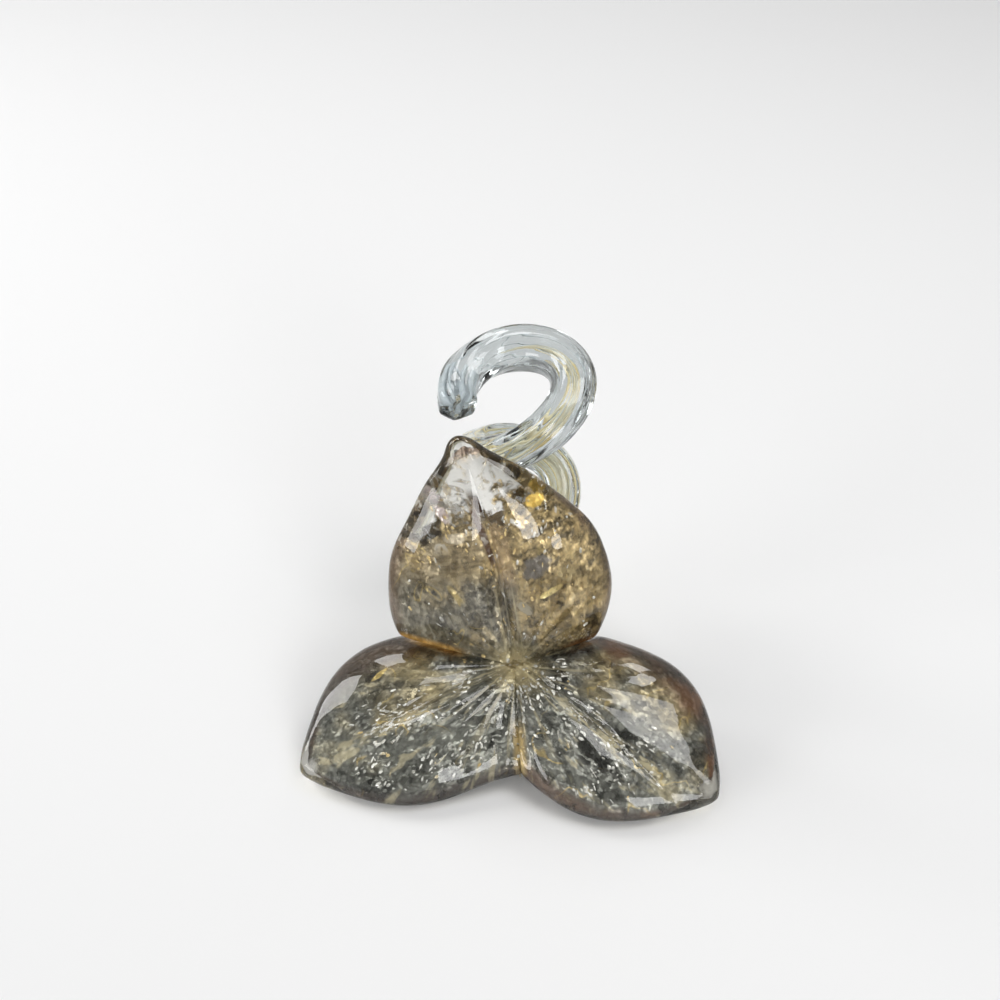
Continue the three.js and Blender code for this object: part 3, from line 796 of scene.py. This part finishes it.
def crackled_foil(name, look, seams):
    """Crumpled silver leaf with amber and gold: facets tilted every way, thin places that show the
    glass behind, pale lines out from the heart (those on the pleat folds partly painted highlight),
    brown at the rim, larger plates set in it (a grey one on the top petal is a painted reflection), and
    on the top petal a tan fold, a dark slit, specks that go over into the clear tip and a nub with
    painted highlights."""
    made, start = new_material(name)
    foil = Foil(start, look)
    across, along = foil.across, foil.along
    colour = leaf_colour(foil)

    brown = (abs(foil.rim) ** 6 * 0.8 + along * 0.2 + foil.clouds * 0.3).between(0.6, 1.0) * 0.8
    one_side = foil.rim * look["brown_side"] + (foil.clouds - 0.5) * 0.5
    one_side = one_side.between(*look["rim_from"])
    brown = brown.at_least(one_side * 0.95)
    burnt = (foil.clouds + (foil.mottle - 0.5) * 0.4).between(0.35, 0.65)
    colour = brown.mixed(colour, burnt.mixed(BURNT_RIM, look["rim"]))

    lines = pale_lines(foil) * (1 - one_side)
    # Cream lines; those along the pleat folds are partly painted highlight
    colour = (lines * 0.8).mixed(colour, CREAM_LINE)
    # Cream near the heart: partly the pale gold there, partly painted light that lifts the shade in the
    # pinch
    colour = (foil.radius.between(0.011, 0.002) * 0.8).mixed(colour, HEART_CREAM_AND_PAINTED_LIGHT)
    colour = seam_amber_and_highlight(foil, colour, seams)
    metal = (1 - lines) * (1 - brown * 0.6) * look["metal"]
    towards_tip = along + across * look["tip_slope"]

    solid = 0.0
    if look["clear_tip"]:
        fold = across.between(-0.055, -0.04) * across.between(0.004, -0.006)
        fold = fold * along.between(0.26, 0.33) * along.between(0.53, 0.46)
        colour = (fold * 0.6).mixed(colour, FOLD_TAN)
        slit = abs(across - along * 0.124 + 0.034).between(0.013, 0.006)
        slit = slit * along.between(0.33, 0.38) * along.between(0.57, 0.52)
        colour = (slit * 0.95).mixed(colour, SLIT_BROWN)
        metal = metal * (1 - slit)
        solid = slit
        clear_rim = foil.rim.between(0.45, 0.85) * along.between(0.44, 0.49)
        towards_tip = towards_tip + clear_rim * 0.1
    for *place, tint in look["plates"]:
        near = plate_near(foil, *place)
        colour = near.mixed(colour, tint)
        solid = near.at_least(solid)
    if look["clear_tip"]:
        odd = foil.chance.between(0.4, 0.6)
        specks = foil.mottle.between(0.56, 0.64) * along.between(0.4, 0.48)
        colour = (specks * odd).mixed(colour, SPECK_WHITE)
        # The tip nub is brown, with pale spots by chance that are painted highlights
        nub = along.between(0.65, 0.69) * foil.mottle.between(0.42, 0.55)
        colour = nub.mixed(colour, odd.mixed(NUB_BROWN, NUB_PAINTED_HIGHLIGHT))
        solid = (specks * 0.55).at_least(nub * 0.8).at_least(solid)

    torn = combined(across, along).noise(14.0, 3.0, 0.6, 0.5)
    thin = (towards_tip + (torn - 0.5) * 0.4).between(*look["fade"])
    gap = (foil.mottle + (foil.rays - 0.5) * 0.8).between(0.4, 0.28)
    alpha = ((1 - thin) * (1 - gap * 0.4)).at_least(solid)
    shaded(start, Base_Color=colour, Metallic=metal, Roughness=0.34 - foil.chance * 0.1, Alpha=alpha,
           Normal=facets_tilted(foil, brown))
    return made


def leaf_flakes(name, gold_from):
    """Loose shards of silver and gold leaf, some bright and some dull."""
    made, start = new_material(name)
    where = object_place(start)
    silver = where.noise(420.0).between(0.4, 0.6).mixed(LEAF_DULL, LEAF_BRIGHT)
    colour = where.noise(110.0).between(gold_from, gold_from + 0.06).mixed(silver, LEAF_GOLD)
    roughness = where.noise(900.0).between(0.2, 0.9) * 0.2 + 0.14
    shaded(start, Base_Color=colour, Metallic=0.3, Roughness=roughness)
    return made


# Geometry trees

def new_tree(name, inputs):
    """A geometry tree with named inputs, and the way to wire one of them."""
    tree = bpy.data.node_groups.new(name, "GeometryNodeTree")
    tree.interface.new_socket("Geometry", in_out="OUTPUT", socket_type="NodeSocketGeometry")
    for label, kind in {"Geometry": "Geometry", **inputs}.items():
        tree.interface.new_socket(label, in_out="INPUT", socket_type="NodeSocket" + kind)
    start = Wire(tree)
    return tree, start, lambda label: start.add("NodeGroupInput", out=label)


def finished(start, instances, material):
    """Ends a geometry tree in one plain mesh with its material."""
    whole = start.add("GeometryNodeRealizeInstances", {}, {0: instances})
    coated = start.add("GeometryNodeSetMaterial", {}, {"Geometry": whole, "Material": material})
    start.add("NodeGroupOutput", {}, {0: coated})


def grown(name, mesh, tree, values):
    """The plain mesh that a geometry tree makes of a mesh."""
    base = bpy.data.objects.new(name, mesh)
    bpy.context.scene.collection.objects.link(base)
    modifier = base.modifiers.new(name, "NODES")
    modifier.node_group = tree
    for item in tree.interface.items_tree:
        if item.in_out == "INPUT" and item.name in values:
            modifier[item.identifier] = values[item.name]
    evaluated = base.evaluated_get(bpy.context.evaluated_depsgraph_get())
    made = bpy.data.meshes.new_from_object(evaluated)
    base.modifiers.remove(modifier)
    bpy.data.objects.remove(base)
    return made


def flakes_tree():
    """Scatters clusters of small shards over a surface, pointed out from the heart, tilted at random
    and lifted off it a little."""
    tree, start, given = new_tree("flakes", {
        "Density": "Float", "Size": "Float", "Lift": "Float", "Bare Side": "Float", "Seed": "Int",
        "Material": "Material"})

    def by_chance(low, high, seed, kind="FLOAT_VECTOR"):
        first, out = {"FLOAT_VECTOR": (0, 0), "FLOAT": (2, 1)}[kind]
        return start.add("FunctionNodeRandomValue", {"data_type": kind},
                         {first: low, first + 1: high, "Seed": seed}, out)

    rim, along = (start.add("GeometryNodeInputNamedAttribute", {"data_type": "FLOAT"}, {"Name": label})
                  for label in ("rim", "along"))
    where = start.add("GeometryNodeInputPosition")
    height = start.add("ShaderNodeSeparateXYZ", {}, {0: where}, 2)
    inside = abs(rim).between(0.93, 0.8) * (rim * given("Bare Side")).between(0.35, -0.05)
    inside = inside * along.between(0.02, 0.1) * along.between(0.6, 0.45)
    inside = inside * height.between(0.0015, 0.003)
    clusters = where.noise(95.0).between(0.45, 0.6) * 0.9 + 0.1
    scattered = start.add("GeometryNodeDistributePointsOnFaces", {}, {
        "Mesh": given("Geometry"), "Density": inside * clusters * given("Density"),
        "Seed": given("Seed")})
    lift = by_chance(0.1, 1.0, 3, "FLOAT") * given("Lift")
    lifted = start.add("GeometryNodeSetPosition", {}, {
        "Geometry": scattered, "Offset": scattered.also("Normal").scaled(lift)})
    pointed = start.add("FunctionNodeAlignRotationToVector", {"axis": "X", "pivot_axis": "Z"}, {
        "Rotation": scattered.also("Rotation"), "Vector": where.vector("SUBTRACT", CENTRE_M)})
    tilted = start.add("FunctionNodeRotateRotation", {"rotation_space": "LOCAL"}, {
        0: pointed, 1: by_chance((-0.4, -0.4, -0.5), (0.4, 0.4, 0.5), 5)})
    flake = start.add("GeometryNodeMeshCone", {"fill_type": "NGON"}, {
        "Vertices": 5, "Radius Bottom": given("Size"), "Depth": given("Size")})
    placed = start.add("GeometryNodeInstanceOnPoints", {}, {
        "Points": lifted, "Instance": flake, "Rotation": tilted,
        "Scale": by_chance((0.2, 0.15, 0.12), (1.25, 0.6, 0.3), 7)})
    finished(start, placed, given("Material"))
    return tree


def threads_tree():
    """Draws a ring of thin strands along a path, twisted round it and thinning to its end."""
    tree, start, given = new_tree("threads", {
        "Strands": "Int", "Ring Radius": "Float", "Strand Radius": "Float", "Twist": "Float",
        "Thinning": "Float", "Material": "Material"})
    share = start.add("GeometryNodeSplineParameter", out="Factor")
    path = start.add("GeometryNodeMeshToCurve", {}, {0: given("Geometry")})
    path = start.add("GeometryNodeSetCurveTilt", {}, {"Curve": path, "Tilt": share * given("Twist")})
    ring = start.add("GeometryNodeMeshCircle", {}, {
        "Vertices": given("Strands"), "Radius": given("Ring Radius")})
    strand = start.add("GeometryNodeCurvePrimitiveCircle", {}, {
        "Resolution": 6, "Radius": given("Strand Radius")})
    thickness = start.add("FunctionNodeRandomValue", {"data_type": "FLOAT"}, {
        2: 0.5, 3: 1.2, "Seed": 4}, 1)
    bundle = start.add("GeometryNodeInstanceOnPoints", {}, {
        "Points": ring, "Instance": strand, "Scale": thickness})
    bundle = start.add("GeometryNodeRealizeInstances", {}, {0: bundle})
    drawn = start.add("GeometryNodeCurveToMesh", {}, {
        "Curve": path, "Profile Curve": bundle, "Scale": (1 - share) ** given("Thinning"),
        "Fill Caps": True})
    finished(start, drawn, given("Material"))
    return tree


# Pieces

def piece(name, mesh, material, slot, *nodes):
    mesh.materials.clear()
    mesh.materials.append(material)
    made = bpy.data.objects.new(name, mesh)
    bpy.context.scene.collection.objects.link(made)
    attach(made, "root")
    if nodes:
        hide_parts(*nodes)


FLAKE_SIZE = 0.9
FLAKE_LIFT = 0.9
FIRST_FLAKE_SEED = 11

petal_glass = clear_glass("petal_glass", PETAL_TINT, PETAL_RIPPLE, soft_ripple)
flakes = flakes_tree()
for number, (name, petal) in enumerate(PETALS.items()):
    look = {**LOWER_LOOK, **LOOKS[name]}
    rings, _ = petal_rings(petal, GLASS_LAYER)
    piece(name + "_glass", closed_skin(name + "_glass", rings), petal_glass, "clear_petal_glass",
          name + "_casing")
    rings, marks = petal_rings(petal, FOIL_LAYER)
    foil_mesh = closed_skin(name + "_foil", crackled(rings), marks)
    leaf = leaf_flakes(name + "_leaf", look["gold_leaf"])
    flake_mesh = grown(name + "_flakes", foil_mesh.copy(), flakes, {
        "Density": look["shards"], "Size": FLAKE_SIZE * MM, "Lift": FLAKE_LIFT * MM,
        "Bare Side": look["brown_side"], "Seed": FIRST_FLAKE_SEED + number, "Material": leaf})
    foil_material = crackled_foil(name + "_foil", look, petal["seams"])
    piece(name + "_foil", foil_mesh, foil_material, "foil_glass", name + "_core")
    piece(name + "_flakes", flake_mesh, leaf, "foil_glass")

piece("heart_pinch", closed_skin("heart_pinch", heart_rings()), golden_heart(), "heart_glass", "heart")

rings, marks = stem_rings()
stem_glass = clear_glass("stem_glass", STEM_GREY_PAINTED_SHADE, STEM_RIPPLE, drawn_ripple)
piece("stem_rod", closed_skin("stem_rod", rings, marks), stem_glass, "clear_stem_glass", "stem_casing")

# Threads in the rod: how many, on what ring, how thick, how they thin, and from which to which of the
# points along the rod
THREAD_POINTS = 300
THREAD_TWIST = -0.02  # radians from one point to the next
THREADS = {
    "stem_threads_cream": {
        "strands": 5, "ring": 2.3, "strand": 0.75, "thinning": 0.6, "stretch": (2, 266),
        "pale": (0.98, 0.95, 0.83), "deep": (0.95, 0.87, 0.64), "nodes": ("stem_core",),
    },
    "stem_threads_gold": {
        "strands": 8, "ring": 4.6, "strand": 0.4, "thinning": 0.6, "stretch": (2, 262),
        "pale": (0.98, 0.88, 0.6), "deep": (0.9, 0.72, 0.36), "nodes": (),
    },
    "stem_threads_pale": {
        "strands": 7, "ring": 4.1, "strand": 0.16, "thinning": 0.1, "stretch": (2, 292),
        "pale": (0.9, 0.92, 0.93), "deep": (0.55, 0.58, 0.6), "nodes": (),
    },
    # The pale wisps at the hook's end are painted light: they lighten an end that the lamps leave dark
    "stem_end_painted_light_wisps": {
        "strands": 7, "ring": 3.2, "strand": 1.0, "thinning": 0.02, "stretch": (282, 299),
        "pale": (0.82, 0.85, 0.86), "deep": (0.6, 0.64, 0.67), "nodes": (),
    },
}
whole_route, _, _ = stem_path(THREAD_POINTS)
threads = threads_tree()
for name, thread in THREADS.items():
    route = whole_route[slice(*thread["stretch"])]
    line = bpy.data.meshes.new(name)
    line.from_pydata((route * MM).tolist(), [(i, i + 1) for i in range(len(route) - 1)], [])
    material = drawn_thread(name, thread["pale"], thread["deep"])
    mesh = grown(name, line, threads, {
        "Strands": thread["strands"], "Ring Radius": thread["ring"] * MM,
        "Strand Radius": thread["strand"] * MM, "Thinning": thread["thinning"],
        "Twist": THREAD_TWIST * len(route), "Material": material})
    piece(name, mesh, material, "thread_glass", *thread["nodes"])


# Table and light, in metres

TABLE_REACH = 3
TABLE_WHITE = (0.9, 0.9, 0.9)
MAT_GREY = (0.42, 0.41, 0.4)
MAT_HEIGHT = 0.0008
MATS = {"mat_left": (-0.9, -0.12), "mat_right": (0.12, 0.9)}
MAT_HALF_DEPTH = 0.5
LAMP_DISTANCE = 0.9
LAMP_AIM = Vector((0, 0, 0.03))
# Azimuth from behind towards the right, elevation, width, height, radiance
LAMPS = {
    "box_over_right": (86, 67, 0.44, 0.56, 4.8),
    "box_high_right": (34, 47, 0.11, 0.17, 6),
    "box_outer_left": (-61, 27, 0.2, 0.62, 6.2),
    "box_back_left": (-25, 49, 0.32, 0.26, 6),
    "strip_left": (-118, 17, 0.52, 0.22, 6),
    "card_front": (155, 25, 0.28, 0.31, 7),
}
OVERHEAD_GLOW = 0.12
LOW_GLOW = 0.36  # added towards the horizon


def stage_sheet(name, x_reach, y_reach, height, colour):
    (x0, x1), (y0, y1) = x_reach, y_reach
    mesh = bpy.data.meshes.new(name)
    corners = [(x0, y0, height), (x1, y0, height), (x1, y1, height), (x0, y1, height)]
    mesh.from_pydata(corners, [], [(0, 1, 2, 3)])
    made = bpy.data.objects.new(name, mesh)
    bpy.context.scene.collection.objects.link(made)
    material, start = new_material(name)
    shaded(start, Base_Color=(*colour, 1), Roughness=0.9, Specular_IOR_Level=0.0)
    mesh.materials.append(material)
    return made


def softbox(name, azimuth, elevation, width, height, radiance):
    a, e = math.radians(azimuth), math.radians(elevation)
    direction = Vector((math.sin(a) * math.cos(e), math.cos(a) * math.cos(e), math.sin(e)))
    lamp = bpy.data.lights.new(name, "AREA")
    lamp.shape = "RECTANGLE"
    lamp.size, lamp.size_y = width, height
    lamp.energy = radiance * math.pi * width * height
    made = bpy.data.objects.new(name, lamp)
    bpy.context.scene.collection.objects.link(made)
    made.visible_camera = False
    made.location = LAMP_AIM + direction * LAMP_DISTANCE
    made.rotation_mode = "QUATERNION"
    made.rotation_quaternion = direction.to_track_quat("Z", "Y")


table_sides = (-TABLE_REACH, TABLE_REACH)
stage_sheet("table", table_sides, table_sides, 0, TABLE_WHITE)
# Grey mats beside the flower, seen only in the glass
for name, x_reach in MATS.items():
    mat = stage_sheet(name, x_reach, (-MAT_HALF_DEPTH, MAT_HALF_DEPTH), MAT_HEIGHT, MAT_GREY)
    mat.visible_camera = mat.visible_diffuse = mat.visible_shadow = False
for name, lamp in LAMPS.items():
    softbox(name, *lamp)

world = bpy.data.worlds.new("studio")
bpy.context.scene.world = world
world.use_nodes = True
world.node_tree.nodes.clear()
sky = Wire(world.node_tree)
height = sky.add("ShaderNodeSeparateXYZ", {}, {0: sky.add("ShaderNodeTexCoord", out="Generated")}, 2)
glow = sky.add("ShaderNodeBackground", {}, {
    "Color": (1, 1, 1, 1), "Strength": height.between(0.55, 0.2) * LOW_GLOW + OVERHEAD_GLOW})
sky.add("ShaderNodeOutputWorld", {}, {"Surface": glow})

# Camera, in millimetres. The picture is 1000 pixels square, and the flower's centre lies at these
# pixels in it.
HALF_PICTURE = 500
CENTRE_ACROSS = 515
CENTRE_DOWN = 665
PIXELS_PER_MM = 3.375
DISTANCE = 520.0
SENSOR = 36
aim = CENTRE + RIGHT * (HALF_PICTURE - CENTRE_ACROSS) / PIXELS_PER_MM
aim = aim + UPWARD * (CENTRE_DOWN - HALF_PICTURE) / PIXELS_PER_MM
eye = bpy.data.cameras.new("eye")
eye.sensor_width = SENSOR
eye.lens = SENSOR / 2 * PIXELS_PER_MM * DISTANCE / HALF_PICTURE
viewer = bpy.data.objects.new("eye", eye)
bpy.context.scene.collection.objects.link(viewer)
viewer.location = Vector((aim + FACING * DISTANCE) * MM)
viewer.rotation_mode = "QUATERNION"
viewer.rotation_quaternion = Vector(-FACING).to_track_quat("-Z", "Y")
bpy.context.scene.camera = viewer
bpy.context.scene.view_settings.view_transform = "Standard"
